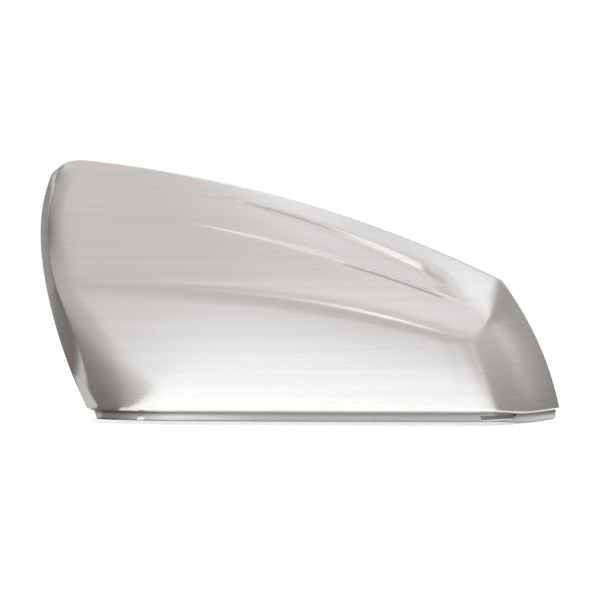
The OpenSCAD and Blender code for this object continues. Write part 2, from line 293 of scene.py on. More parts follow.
def upper_slope(x, z):
    belt_y = front_face(x, belt_line(x))
    t = np.abs(upper_share(x, z))
    bend = upper_bend(x)
    return (RIM_Y - belt_y) * (1 - bend + 2 * bend * t) / (crown_line(x) - belt_line(x))


halfway = (belt_line(0.0) + crown_line(0.0)) / 2
print("upper face halfway up: y", round(float(upper_face(0.0, halfway)), 1), "mm")

# %% The end wall
END_SPAN = 45.5
END_LEAN = 0.12
END_PROUD = 2.0
END_DEPTH = DEPTH + END_PROUD
END_POWER = 1.75


def end_share(x, z):
    """0 where the end wall starts and 1 at the right rim."""
    return 1 - (right_rim(z) - x) / (END_SPAN - END_LEAN * (z - FOOT))


def end_face(x, z):
    s = end_share(x, z)
    return RIM_Y - END_DEPTH * (1 - np.sign(s) * np.abs(s) ** END_POWER)


def end_slope(x, z):
    return END_DEPTH * END_POWER * np.abs(end_share(x, z)) ** (END_POWER - 1) / END_SPAN


print("end wall 10 mm before the rim: y", round(float(end_face(right_rim(FOOT) - 10, FOOT)), 1), "mm")

# %% [markdown]
# ## The flute
# The flute is the long hollow in the upper face. It steps back at a sharp lower ledge and comes forward
# again in a bright upper wall; it fades out to the left and ends in a rounded slope at the right.
# A Boolean could cut it, but its walls fade away to nothing, so it is a depth that is added to the face.

# %% The flute
FLUTE_DEPTH = 11.0
FLUTE_END_LENGTH = 10.0
FLUTE_END_ROUND = 0.3
FLUTE_FADE_X = -62.0
FLUTE_FADE_LENGTH = 134.0
FLUTE_GROWTH = 1.6
FLUTE_WALL = 6.5
FLUTE_LEAST = 0.15
FLUTE_WALL_ROUND = 0.15
LEDGE = 1.0


def flute_share(x):
    return np.clip((x - FLUTE_FADE_X) / FLUTE_FADE_LENGTH, 0, 1) ** FLUTE_GROWTH


def flute_wall(x):
    return FLUTE_WALL * np.maximum(flute_share(x), FLUTE_LEAST)


def flute(x, z, t):
    fade = flute_share(x) * ramp((flute_end(z) - x) / FLUTE_END_LENGTH, FLUTE_END_ROUND)
    ledge = ease((z - flute_foot(x) + t) / LEDGE)
    return FLUTE_DEPTH * fade * ledge * ramp((flute_top(x) - z) / flute_wall(x), FLUTE_WALL_ROUND)


print("flute's width over the middle:", round(float(flute_top(0.0) - flute_foot(0.0)), 1), "mm")

# %% The whole skin
BELT_ROUNDS = (2.0, 6.0)
BELT_CRISP = 12.0
BELT_BLEND = 60.0
END_ROUNDS = (8.0, 2.0, 16.0)
END_BLEND = 8.0
SOFTER_FROM = 0.15
SOFTER_OVER = 0.65
# The belt's rounding grows from left to right; the end's goes from below the belt to above it and
# on to the crown. The slants say how much deeper the wall is where a face also leans sideways.
FRONT_SLANT = 1.05
END_SLANT = 1.08
LEAST_ROOM = 0.02
ROUNDS_PER_ROOM = 5


def belt_rounding(x):
    blend = ease((x - LEFT_END - BELT_CRISP) / BELT_BLEND)
    return BELT_ROUNDS[0] + (BELT_ROUNDS[1] - BELT_ROUNDS[0]) * blend


def end_rounding(x, z):
    blend = ease((z - belt_line(x)) / END_BLEND + 0.5)
    softer = ease((upper_share(x, z) - SOFTER_FROM) / SOFTER_OVER)
    crisp = END_ROUNDS[0] + (END_ROUNDS[1] - END_ROUNDS[0]) * blend
    return crisp + (END_ROUNDS[2] - END_ROUNDS[1]) * softer


def steepness(slope):
    """Depth that one millimetre of wall takes on a face with this slope."""
    return np.sqrt(1 + slope * slope)


def skin(x, z, t):
    """Depth of the surface that lies t inside the skin."""
    front = front_face(x, z) + FRONT_SLANT * t
    upper = upper_face(x, z) + steepness(FRONT_SLANT * upper_slope(x, z)) * t
    end = end_face(x, z) + steepness(END_SLANT * end_slope(x, z)) * t
    face = round_max(front, upper, belt_rounding(x)) + flute(x, z, t)
    room = np.maximum(RIM_Y - np.maximum(face, end), LEAST_ROOM)
    return round_max(face, end, np.minimum(end_rounding(x, z), ROUNDS_PER_ROOM * room))


flute_step = skin(np.array([40.0, 40.0]), flute_foot(40.0) + np.array([1.5, -0.5]), 0)
print("the lower ledge at x = 40 is", round(float(flute_step[0] - flute_step[1]), 1), "mm deep")

# %% [markdown]
# ## The left return wall
# At the left the real skin turns back in a narrow wall, ruled from a crease to the open rim. The rim
# sweeps forward towards its foot, and near the foot the wall turns under in a small facet. It stands
# almost square to the front view, so it is ruled from line to line and isn't a depth over that view.

# %% The left return wall
RIM_SWEEP = 40.0
SWEEP_TOP = 89.0
FACET_HEIGHT = 16.0
FACET_SLOPE = 0.5
WALL_CURVE = 1.5


def left_rim_depth(z):
    return RIM_Y - RIM_SWEEP * ease((SWEEP_TOP - z) / (SWEEP_TOP - FOOT))


def left_wall(share, crease_y, z):
    ruled = crease_y + (left_rim_depth(z) - crease_y) * np.maximum(share, 0) ** WALL_CURVE
    return ruled + FACET_SLOPE * np.maximum(FOOT + FACET_HEIGHT * share - z, 0)


print("left rim's depth at its foot:", round(float(left_rim_depth(FOOT)), 1), "mm")

# %% [markdown]
# ## Rows and columns that follow the form
# A plain grid laid over the front view would cut across the creases and leave teeth. Here each row
# runs between two guide lines, such as the belt and the flute's foot, and the columns crowd at the
# creases, so every edge of the form lies on an edge of the mesh. The inner surface uses the same rows,
# one wall thickness in.

# %% Rows between the guide lines
BAND_ROWS = (26, 20, 4, 10, 10, 8)
DROP_X = 84.0
DROP_LENGTH = 26.0
CROWN_SLANT = 1.1


def foot_height(x):
    """The skin's lower edge, which drops a little at the right."""
    return FOOT - FOOT_DROP * ease((x - DROP_X) / DROP_LENGTH)


def rails(x, t):
    foot = flute_foot(x) - t
    top = flute_top(x)
    edge = foot_height(x) + EDGE_BEVEL
    return [edge, belt_line(x) - t / 2, foot, foot + LEDGE, top - flute_wall(x), top - t / 4, crown_line(x)]


def row_height(x, b, t):
    """Height of row b, whose whole part is its band and whose rest is its share of that band."""
    rail = rails(x, t)
    band = min(int(b), len(rail) - 2)
    z = rail[band] + (rail[band + 1] - rail[band]) * (b - band)
    if b <= 1:
        return z
    top = crown(x) - CROWN_SLANT * t
    return rail[1] + (z - rail[1]) * (top - rail[1]) / (crown_line(x) - rail[1])


print("rows over the middle from", round(float(row_height(0.0, 0, 0.0)), 1), "mm up")

# %% Columns between the creases
WALL_COLUMNS = 8
FRONT_COLUMNS = 190
END_COLUMNS = 36
CROWDING = 1.25
# The slants say how far in a rim or crease lies on the inner surface, for each mm of wall.
SEARCH_OUTSIDE = 5.0
SEARCH_INSIDE = 60.0
LEFT_RIM_SLANT = 1.08
CREASE_SLANT = 0.75
RIGHT_RIM_SLANT = 1.14
LEAST_END_WIDTH = 3.0


def stations(b, t):
    """Left rim, crease, edge of the end wall and right rim of a row."""
    left_span = (np.array(LEFT_END - SEARCH_OUTSIDE), np.array(LEFT_END + SEARCH_INSIDE))
    right_span = (np.array(RIGHT_END - SEARCH_INSIDE), np.array(RIGHT_END + SEARCH_OUTSIDE))
    left = crossing(lambda x: x - left_rim(row_height(x, b, t)) - LEFT_RIM_SLANT * t, *left_span)
    crease = crossing(lambda x: x - left_crease(row_height(x, b, t)) - CREASE_SLANT * t, *left_span)
    right = crossing(lambda x: x - right_rim(row_height(x, b, t)) + RIGHT_RIM_SLANT * t, *right_span)

    def end_over_front(x):
        z = row_height(x, b, t)
        return end_face(x, z) - np.maximum(front_face(x, z), upper_face(x, z))

    edge = crossing(end_over_front, right - END_SPAN, right)
    return left, crease, np.minimum(edge, right - LEAST_END_WIDTH), right


def column_places(s):
    wall = s[0] + (s[1] - s[0]) * np.arange(WALL_COLUMNS) / WALL_COLUMNS
    front = s[1] + (s[2] - s[1]) * (np.arange(FRONT_COLUMNS) / FRONT_COLUMNS) ** CROWDING
    end = s[2] + (s[3] - s[2]) * np.arange(END_COLUMNS + 1) / END_COLUMNS
    return np.concatenate([wall, front, end])


print("the belt's row runs through x =", [round(float(x), 1) for x in stations(1.0, 0.0)])

# %% Both sides of the wall


def surface_row(b, t):
    s = stations(b, t)
    crease_y = np.minimum(skin(s[1], row_height(s[1], b, t), t), RIM_Y)
    x = column_places(s)
    z = row_height(x, b, t)
    share = (s[1] - x) / (s[1] - s[0])
    y = np.where(share > 0, left_wall(share, crease_y, z), np.minimum(skin(x, z, t), RIM_Y))
    return np.stack([x, y, z], axis=1)


ROWS = [band + step / count for band, count in enumerate(BAND_ROWS) for step in range(count)]
ROWS.append(float(len(BAND_ROWS)))
outer_rows = [surface_row(b, 0.0) for b in ROWS]
inner_rows = [surface_row(b, WALL) for b in ROWS]
print(len(outer_rows), "rows of", len(outer_rows[0]), "points on each side of the wall")

# %% [markdown]
# ## The inset lip
# Under the skin's lower edge runs a lip, set in by half the wall, that slides inside the lower housing.
# Its bottom starts in a short slant at the left and rounds up at the right end. It could be a strip of
# its own, but the real one is moulded with the skin, so its rows carry on from the skin's rows.

# %% The lip's bottom line
LIP_STUB = 0.4
LIP_CORNER = 3.0
LIP_CORNER_RISE = 0.6
LIP_START_GAP = 3.0
LIP_START_LENGTH = 2.2
LIP_LEFT = left_rim(FOOT) + LIP_START_GAP
LIP_RIGHT = right_rim(LIP_HEIGHT)


def lip_bottom(x):
    start = ease((x - LIP_LEFT) / LIP_START_LENGTH)
    reach = np.clip((x - LIP_RIGHT + LIP_INSET + LIP_CORNER) / LIP_CORNER, 0, 1)
    rise = LIP_CORNER * (1 - np.sqrt(1 - reach * reach)) * LIP_CORNER_RISE
    return foot_height(x) - LIP_STUB - (LIP_HEIGHT - LIP_STUB) * start + rise


print("the lip's bottom over the middle:", round(float(lip_bottom(0.0)), 2), "mm")

# %% The lip's rows
GROOVE = 0.8
LIP_SHARES = (0.0, 0.08, 0.16, 0.4, 0.7, 0.78, 0.9)


def at_height(row, z):
    moved = row.copy()
    moved[:, 2] = z
    return moved


def above_foot(row, height):
    return at_height(row, foot_height(row[:, 0]) + height)


def between(low, high, share):
    return low + (high - low) * share


lip_row = surface_row(0.0, LIP_INSET)
lip_foot = at_height(lip_row, lip_bottom(lip_row[:, 0]))
lip_head = above_foot(lip_row, GROOVE)
bevel_row = above_foot(surface_row(0.0, EDGE_BEVEL), 0.0)
inner_foot = at_height(inner_rows[0], lip_bottom(inner_rows[0][:, 0]))
inner_stub = above_foot(inner_rows[0], -LIP_STUB / 2)
inner_edge = above_foot(inner_rows[0], 0.0)
outer_side = [between(lip_foot, lip_head, share) for share in LIP_SHARES] + [lip_head, bevel_row]
outer_side += outer_rows
inner_side = [inner_foot, inner_stub, inner_edge] + inner_rows
lip_heights = lip_head[:, 2] - lip_foot[:, 2]
print("lip and groove together:", round(float(lip_heights.max()), 1), "mm high")

# %% [markdown]
# ## From rows to a closed moulding
# The rows go once round the wall: up the outside, over the rim and down the inside. Solidify could
# thicken one surface, but the lip is thinner than the wall, so both sides are laid out. One grid from
# create_grid carries them all. Three bridges then close the seam under the lip and both ends.

# %% Fit the rows to the CAD box


def to_metres(points):
    """Scales raw points so that the skin fills the CAD node's box exactly."""
    share = (points - raw_low) / (raw_high - raw_low)
    return np.array(cover_box[0]) + share * (np.array(cover_box[1]) - np.array(cover_box[0]))


loop_rows = np.array(outer_side + inner_side[::-1])
OUTER_COUNT = len(outer_side)
raw_low = loop_rows.reshape(-1, 3).min(axis=0)
raw_high = loop_rows.reshape(-1, 3).max(axis=0)
shell_points = to_metres(loop_rows)
print("raw size:", [round(float(v), 2) for v in raw_high - raw_low], "mm")

# %% Build the moulding


def link_piece(name, bm):
    mesh = bpy.data.meshes.new(name)
    bm.to_mesh(mesh)
    bm.free()
    piece = bpy.data.objects.new(name, mesh)
    bpy.context.scene.collection.objects.link(piece)
    return piece


def chain(at, places):
    """The edges that join a list of grid places, one after another."""
    found = []
    for a, b in zip(places[:-1], places[1:]):
        shared = [e for e in at[a].link_edges if e.other_vert(at[a]) is at[b]]
        found.extend(shared)
    return found


def closed_moulding(points):
    rows, columns = points.shape[:2]
    bm = bmesh.new()
    bmesh.ops.create_grid(bm, x_segments=columns - 1, y_segments=rows - 1, size=1.0)
    at = {}
    for v in bm.verts:
        column = round((v.co.x + 1) / 2 * (columns - 1))
        row = round((v.co.y + 1) / 2 * (rows - 1))
        at[row, column] = v
    for (row, column), v in at.items():
        v.co = points[row, column]
    first = chain(at, [(0, c) for c in range(columns)])
    last = chain(at, [(rows - 1, c) for c in range(columns)])
    bmesh.ops.bridge_loops(bm, edges=first + last)
    for column in (0, columns - 1):
        outside = chain(at, [(r, column) for r in range(OUTER_COUNT)])
        inside = chain(at, [(r, column) for r in range(OUTER_COUNT, rows)])
        bmesh.ops.bridge_loops(bm, edges=outside + inside)
    bmesh.ops.recalc_face_normals(bm, faces=bm.faces)
    return bm


bm = closed_moulding(shell_points)
open_edges = [e for e in bm.edges if not e.is_manifold]
print(len(bm.faces), "faces,", len(open_edges), "open edges,", round(bm.calc_volume() * 1e6, 1), "cm3")

# %% [markdown]
# ## Rounded edges
# A mould leaves no knife edges: the rim, the lip and the crease of the return wall are slightly rounded.
# They are the only edges of the mesh that turn sharply, so their angle finds them. A Bevel modifier
# could do it too, but the small parts need the same bevel with other limits, so it is a helper.

# %% Round the sharp edges
SHARP_TURN = math.radians(38)
SKIN_ROUNDING = 0.28 * MM


def round_sharp_edges(bm, width, turn=SHARP_TURN, segments=2):
    sharp = [e for e in bm.edges if e.is_manifold and e.calc_face_angle(0.0) > turn]
    bmesh.ops.bevel(
        bm,
        geom=sharp,
        offset=width,
        offset_type="OFFSET",
        segments=segments,
        profile=0.5,
        affect="EDGES",
        clamp_overlap=True,
        material=-1,
    )
    return len(sharp)


rounded = round_sharp_edges(bm, SKIN_ROUNDING)
print(rounded, "edges rounded,", len(bm.faces), "faces now")

# %% Link the moulding
cover = link_piece("cover_skin", bm)
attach(cover, "root")
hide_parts("mirror_cover")
print("cover_skin has", len(cover.data.polygons), "faces")

# %% [markdown]
# ## The clip window
# Near its right end the lip has a low window with slanted ends, where a clip of the lower housing
# snaps in. Leaving faces out of the grid would give it stepped ends, so a Boolean with a short bar of
# its outline cuts it straight through the lip.

# %% The window's outline
WINDOW_X = 82.0
WINDOW_LENGTH = 18.0
WINDOW_HEIGHT = 2.4
WINDOW_GAP = 0.5
WINDOW_SLANT = 1.0
WINDOW_FOOT = FOOT_DROP + WINDOW_GAP


def raw_to_metres(x, y, z):
    return Vector(to_metres(np.array([x, y, z])))


def extruded_outline(outline, shift):
    """A solid from a flat outline of points in metres, drawn out along a vector in metres."""
    bm = bmesh.new()
    corners = [bm.verts.new(point) for point in outline]
    face = bmesh.ops.contextual_create(bm, geom=corners)["faces"]
    drawn = bmesh.ops.extrude_face_region(bm, geom=face, use_keep_orig=True)["geom"]
    moved = [part for part in drawn if isinstance(part, bmesh.types.BMVert)]
    bmesh.ops.translate(bm, verts=moved, vec=shift)
    bmesh.ops.recalc_face_normals(bm, faces=bm.faces)
    return bm


def clip_window():
    head = WINDOW_FOOT + WINDOW_HEIGHT
    corners = [
        (WINDOW_X + WINDOW_SLANT, WINDOW_FOOT),
        (WINDOW_X + WINDOW_LENGTH - 2 * WINDOW_SLANT, WINDOW_FOOT),
        (WINDOW_X + WINDOW_LENGTH, head),
        (WINDOW_X, head),
    ]
    outline = [raw_to_metres(x, -RIM_Y, z) for x, z in corners]
    return extruded_outline(outline, Vector((0.0, RIM_Y * MM, 0.0)))


print("clip window:", WINDOW_LENGTH, "by", WINDOW_HEIGHT, "mm")

# %% Cut the window and smooth the skin
SMOOTH_TURN = math.radians(32)


def cut_with(piece, tool_mesh):
    tool = link_piece("cutting_tool", tool_mesh)
    cut = piece.modifiers.new("cut", "BOOLEAN")
    cut.operation = "DIFFERENCE"
    cut.solver = "EXACT"
    cut.object = tool
    depsgraph = bpy.context.evaluated_depsgraph_get()
    result = bpy.data.meshes.new_from_object(piece.evaluated_get(depsgraph))
    piece.modifiers.clear()
    piece.data = result
    bpy.data.objects.remove(tool)


def smooth(piece):
    piece.data.shade_smooth()
    piece.data.set_sharp_from_angle(angle=SMOOTH_TURN)


cut_with(cover, clip_window())
smooth(cover)
print("after the cut:", len(cover.data.polygons), "faces")

# %% [markdown]
# ## Painted shade on the lip and at the flute's foot
# The lip, its groove and the line at the foot of the flute are painted darker than the skin. This is painted
# shade where the skin's lower edge and the flute's ledge shadow them. A second material would end in a hard
# line. Here each point stores a share of painted shade instead, and the plating reads it.

# %% Mark the stretches of painted shade
HOUSING_Y = 0.06
LIP_EDGE = 0.1
LIP_BOTTOM = 0.5
# Shares of painted shade: most in the groove and at the lip's bottom, less on the lip's body, and its own
# share on the line under the flute's ledge.
PAINTED_GROOVE_SHADE = 0.8
PAINTED_LIP_SHADE = 0.5
LIP_SHADE_X = -80.0
LIP_SHADE_GROWTH = 80.0
PAINTED_LINE_SHADE = 0.6
LINE_WIDTH = 0.9 * LEDGE
LINE_X = -5.0
LINE_GROWTH = 50.0
LINE_END_X = 68.0
LINE_END_FADE = 5.0


def faces_out(v):
    """True for a point whose normal looks away from the housing inside the cover."""
    return v.normal.x * v.co.x + v.normal.y * (v.co.y - HOUSING_Y) > 0


def painted_shade_at(x, z):
    """Painted shade: 0 on the skin, more on the lip, and most in its groove and at its bottom.

    The line at the flute's foot is painted shade under the ledge, with a share of its own that grows to the
    right.
    """
    if abs(z - float(flute_foot(x)) + LEDGE / 2) < LINE_WIDTH / 2:
        growth = float(ease((x - LINE_X) / LINE_GROWTH))
        return PAINTED_LINE_SHADE * growth * float(ease((LINE_END_X - x) / LINE_END_FADE))
    depth = float(foot_height(x)) - z
    if depth <= LIP_EDGE:
        return 0.0
    if depth < GROOVE or depth > LIP_HEIGHT - LIP_BOTTOM:
        return PAINTED_GROOVE_SHADE
    return PAINTED_LIP_SHADE * float(ease((x - LIP_SHADE_X) / LIP_SHADE_GROWTH))


def mark_painted_shade(piece, share_at):
    """Stores a share of painted shade for each point that faces out, from its x and z in mm."""
    share = piece.data.attributes.new("painted_shade_share", "FLOAT", "POINT")
    for i, v in enumerate(piece.data.vertices):
        share.data[i].value = share_at(v.co.x / MM, v.co.z / MM) if faces_out(v) else 0.0
    return sum(1 for entry in share.data if entry.value > 0)


# Count of the skin's points that carry painted shade.
print(mark_painted_shade(cover, painted_shade_at), "points of the skin are dull")

# %% [markdown]
# ## Locating pins
# Two round pins on bosses place the cover in its housing before the hooks snap in. Two cylinders set
# one on the other would leave a face between them. So each pin starts as a disc that is drawn out,
# inset to the pin's diameter, drawn out again and tapered at its tip.

# %% Draw a round cap out
PIN_Z = 31.0
PIN_X = {"left": -62.0, "right": 48.0}
BOSS_RADIUS = 5.0 * MM
PIN_RADIUS = 2.5 * MM
BOSS_SHOULDER_Y = (RIM_Y - 42.0) * MM
PIN_LENGTH = 12.0 * MM
PIN_TAPER = 0.8 * MM
PIN_SIDES = 48
PIN_ROUNDING = 0.25 * MM
PIN_TURN = math.radians(40)


def step_out(bm, cap, along=0.0, shrink=0.0):
    """Draws a round cap out by a length, then narrows it. The face that it covers goes."""
    covered = cap
    grown = bmesh.ops.extrude_face_region(bm, geom=[cap])["geom"]
    cap = next(part for part in grown if isinstance(part, bmesh.types.BMFace))
    if covered.is_valid:
        bmesh.ops.delete(bm, geom=[covered], context="FACES_ONLY")
    bmesh.ops.translate(bm, verts=cap.verts, vec=(0.0, along, 0.0))
    centre = cap.calc_center_median()
    radius = (cap.verts[0].co - centre).length
    scale = (radius - shrink) / radius
    bmesh.ops.scale(bm, verts=cap.verts, vec=(scale, 1.0, scale), space=Matrix.Translation(-centre))
    return cap


print("pins of", 2 * PIN_RADIUS / MM, "mm on bosses of", 2 * BOSS_RADIUS / MM, "mm")

# %% Locating pins


def locating_pin(side):
    x = PIN_X[side]
    root = raw_to_metres(x, float(skin(x, PIN_Z, WALL / 2)), PIN_Z)
    place = Matrix.Translation((x * MM, root.y, PIN_Z * MM)) @ Matrix.Rotation(math.radians(-90), 4, "X")
    bm = bmesh.new()
    bmesh.ops.create_circle(bm, cap_ends=True, segments=PIN_SIDES, radius=BOSS_RADIUS, matrix=place)
    bm.faces.ensure_lookup_table()
    cap = step_out(bm, bm.faces[0], along=BOSS_SHOULDER_Y - root.y)
    cap = step_out(bm, cap, shrink=BOSS_RADIUS - PIN_RADIUS)
    cap = step_out(bm, cap, along=PIN_LENGTH - PIN_TAPER)
    step_out(bm, cap, along=PIN_TAPER, shrink=PIN_TAPER)
    bmesh.ops.holes_fill(bm, edges=[e for e in bm.edges if e.is_boundary])
    bmesh.ops.recalc_face_normals(bm, faces=bm.faces)
    round_sharp_edges(bm, PIN_ROUNDING, turn=PIN_TURN, segments=3)
    return link_piece("locating_pin_" + side, bm)


pins = [locating_pin(side) for side in PIN_X]
tip_y = max(v.co.y for v in pins[0].data.vertices)
print("pins at x =", list(PIN_X.values()), "mm, with their tips at y =", round(tip_y / MM, 2))

# %% [markdown]
# ## Snap hooks, ribs and the corner wall
# Four tongues under the crown and three behind the lip catch in slots of the housing, three low
# upright ribs stiffen the front wall, and a low wall crosses the right front corner behind the clip
# window. Boxes with bevels would miss the catch at a hook's tip and the rib's bow. Each is a flat
# outline drawn out to its thickness, with its root buried in the middle of the wall and its edges
# rounded.

# %% Outlines of the hooks
HOOK_WIDTH = 10.0
HOOK_THICK = 2.0
CATCH = 1.6
HOOK_GAP = 3.0
HOOK_DROP = 14.0
LOWER_HOOK_LENGTH = 14.0
UPPER_HOOK_X = (-82.0, -34.0, 14.0, 58.0)
LOWER_HOOK_X = (-70.0, -8.0, 66.0)


def upper_hook_outline(x):
    z = float(crown_line(x)) - HOOK_DROP
    tip = RIM_Y - HOOK_GAP
    back = tip - 2 * CATCH
    root = float(skin(x, z, WALL / 2))
    root_top = float(skin(x, z + HOOK_THICK, WALL / 2))
    top = z + HOOK_THICK
    return [(root, z), (back, z), (back, z - CATCH), (tip, z), (tip, top), (root_top, top)]


def lower_hook_outline(x):
    root = float(skin(x, FOOT + EDGE_BEVEL, (LIP_INSET + WALL) / 2))
    tip = root + LOWER_HOOK_LENGTH
    back = tip - 2 * CATCH
    low = FOOT_DROP + LIP_STUB
    top = low + HOOK_THICK
    return [(root, low), (tip, low), (tip, top), (back, top + CATCH), (back, top), (root, top)]


print("a hook's outline has", len(upper_hook_outline(UPPER_HOOK_X[0])), "corners")

# %% Outline of a rib
RIB_X = (-36.0, -8.0, 20.0)
RIB_THICK = 1.4
RIB_HEIGHT = 5.0
RIB_STEPS = 6
RIB_FOOT_GAP = 5.0
RIB_HEAD_GAP = 8.0
RIB_RISE = 0.9
RIB_START = 0.2


def rib_outline(x):
    """Low at both ends and full height between, along the inner face."""
    foot = FOOT + RIB_FOOT_GAP
    rise = (float(belt_line(x)) - RIB_HEAD_GAP - foot) / RIB_STEPS
    heights = [foot + i * rise for i in range(RIB_STEPS + 1)]
    crest = []
    for i, z in enumerate(heights):
        share = min(1.0, RIB_RISE * i - RIB_START, RIB_RISE * (RIB_STEPS - i) - RIB_START)
        crest.append((float(skin(x, z, WALL)) + RIB_HEIGHT * share, z))
    root = [(float(skin(x, z, WALL / 2)), z) for z in reversed(heights)]
    return crest + root


print("a rib's outline has", len(rib_outline(RIB_X[1])), "corners")

# %% Make the hooks and ribs
FIN_ROUNDING = 0.3 * MM
FIN_TURN = math.radians(50)


def fin(name, x, width, outline):
    points = [raw_to_metres(x - width / 2, y, z) for y, z in outline]
    bm = extruded_outline(points, Vector((width * MM, 0.0, 0.0)))
    round_sharp_edges(bm, FIN_ROUNDING, turn=FIN_TURN)
    return link_piece(name, bm)


fins = []
for i, x in enumerate(UPPER_HOOK_X):
    fins.append(fin("upper_hook_%d" % (i + 1), x, HOOK_WIDTH, upper_hook_outline(x)))
for i, x in enumerate(LOWER_HOOK_X):
    fins.append(fin("lower_hook_%d" % (i + 1), x, HOOK_WIDTH, lower_hook_outline(x)))
for i, x in enumerate(RIB_X):
    fins.append(fin("rib_%d" % (i + 1), x, RIB_THICK, rib_outline(x)))
print(len(fins), "hooks and ribs")

# %% Make the corner wall
BRACE_REACH = 6.0
BRACE_Z = 7.0
BRACE_HEIGHT = 10.0
BRACE_THICK = 1.8
BRACE_ROUNDING = 0.2 * MM
BRACE_TURN = math.radians(60)
# The corner wall carries a high share of painted shade, so that the clip window shows a dark inside.
PAINTED_BRACE_SHADE = 0.85


def corner_brace():
    """A low wall across the corner behind the clip window."""
    left_x = WINDOW_X - BRACE_REACH
    right_x = WINDOW_X + WINDOW_LENGTH + BRACE_REACH
    left_y = float(skin(left_x, BRACE_Z, WALL / 2))
    right_y = float(skin(right_x, BRACE_Z, WALL / 2))
    front = [(left_x, left_y), (right_x, right_y)]
    back = [(right_x - BRACE_THICK, right_y), (left_x, left_y + BRACE_THICK)]
    outline = [raw_to_metres(x, y, WINDOW_FOOT) for x, y in front + back]
    bm = extruded_outline(outline, Vector((0.0, 0.0, BRACE_HEIGHT * MM)))
    round_sharp_edges(bm, BRACE_ROUNDING, turn=BRACE_TURN)
    return link_piece("corner_brace", bm)


brace = corner_brace()
# Count of the corner wall's points that carry painted shade.
print(mark_painted_shade(brace, lambda x, z: PAINTED_BRACE_SHADE), "points of the corner wall are dull")

# %% Tie the small parts to the cover
small_parts = pins + fins + [brace]
for piece in small_parts:
    smooth(piece)
    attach(piece, "root")
    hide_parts("mirror_cover")
print(len(small_parts), "small parts ride with the cover")

# %% [markdown]
# ## The satin plating
# Satin plating is bright metal over plastic, matted by a fine brushed grain that runs along the cover.
# Anisotropic reflection could stand for the grain, but then no single line of it would show. Here it is
# noise stretched a hundredfold along X, which tilts the surface a little and varies its roughness and
# tone. The effect is a node group, so that any other plated finish can use it.

# %% A node group for the brushed grain


def divided_by(nodes, links, source):
    """One over a value."""
    share = nodes.new("ShaderNodeMath")
    share.operation = "DIVIDE"
    share.inputs[0].default_value = 1.0
    links.new(source, share.inputs[1])
    return share.outputs[0]


def noise_of(nodes, links, vector, scale, detail, roughness):
    noise = nodes.new("ShaderNodeTexNoise")
    noise.inputs["Scale"].default_value = scale
    noise.inputs["Detail"].default_value = detail
    noise.inputs["Roughness"].default_value = roughness
    links.new(vector, noise.inputs["Vector"])
    return noise.outputs["Fac"]


def brushed_grain_group():
    group = bpy.data.node_groups.new("brushed_grain", "ShaderNodeTree")
    for name, value in (("Length", 0.06), ("Spacing", 0.0004)):
        socket = group.interface.new_socket(name, in_out="INPUT", socket_type="NodeSocketFloat")
        socket.default_value = value
    for name in ("Fine", "Broad"):
        group.interface.new_socket(name, in_out="OUTPUT", socket_type="NodeSocketFloat")
    nodes = group.nodes
    links = group.links
    entry = nodes.new("NodeGroupInput")
    result = nodes.new("NodeGroupOutput")
    place = nodes.new("ShaderNodeTexCoord")
    along = divided_by(nodes, links, entry.outputs["Length"])
    across = divided_by(nodes, links, entry.outputs["Spacing"])
    scale = nodes.new("ShaderNodeCombineXYZ")
    links.new(along, scale.inputs["X"])
    links.new(along, scale.inputs["Y"])
    links.new(across, scale.inputs["Z"])
    stretch = nodes.new("ShaderNodeVectorMath")
    stretch.operation = "MULTIPLY"
    links.new(place.outputs["Object"], stretch.inputs[0])
    links.new(scale.outputs[0], stretch.inputs[1])
    fine = noise_of(nodes, links, stretch.outputs[0], scale=1.0, detail=3.0, roughness=0.6)
    broad = noise_of(nodes, links, stretch.outputs[0], scale=0.22, detail=2.0, roughness=0.5)
    links.new(fine, result.inputs["Fine"])
    links.new(broad, result.inputs["Broad"])
    return group


GRAIN = brushed_grain_group()
print("node group", GRAIN.name, "with", len(GRAIN.nodes), "nodes")

# %% Helpers for the materials


def range_of(nodes, links, source, low, high, to_low, to_high):
    """A value spread from one range to another."""
    spread = nodes.new("ShaderNodeMapRange")
    spread.inputs["From Min"].default_value = low
    spread.inputs["From Max"].default_value = high
    spread.inputs["To Min"].default_value = to_low
    spread.inputs["To Max"].default_value = to_high
    links.new(source, spread.inputs["Value"])
    return spread.outputs["Result"]


def mix_of(nodes, links, share, colour):
    """A mix node that blends its A towards a colour by a share."""
    mix = nodes.new("ShaderNodeMix")
    mix.data_type = "RGBA"
    mix.inputs["B"].default_value = colour
    links.new(share, mix.inputs["Factor"])
    return mix


def attribute_of(nodes, name):
    reader = nodes.new("ShaderNodeAttribute")
    reader.attribute_name = name
    return reader.outputs["Fac"]


print("ready to spread, mix and read values in a material")

# %% The plating material
PLATE_COLOUR = (0.86, 0.85, 0.83, 1.0)
PLATE_DULL = (0.82, 0.81, 0.79, 1.0)
# The dark colour of painted shade on the lip, its groove, the flute's foot and the corner wall.
PAINTED_SHADE_COLOUR = (0.16, 0.155, 0.15, 1.0)
GRAIN_LENGTH = 0.03
GRAIN_SPACING = 0.00045
GRAIN_HEIGHT = 0.00002
GRAIN_STRENGTH = 0.14
PLATE_ROUGHNESS = (0.24, 0.30)


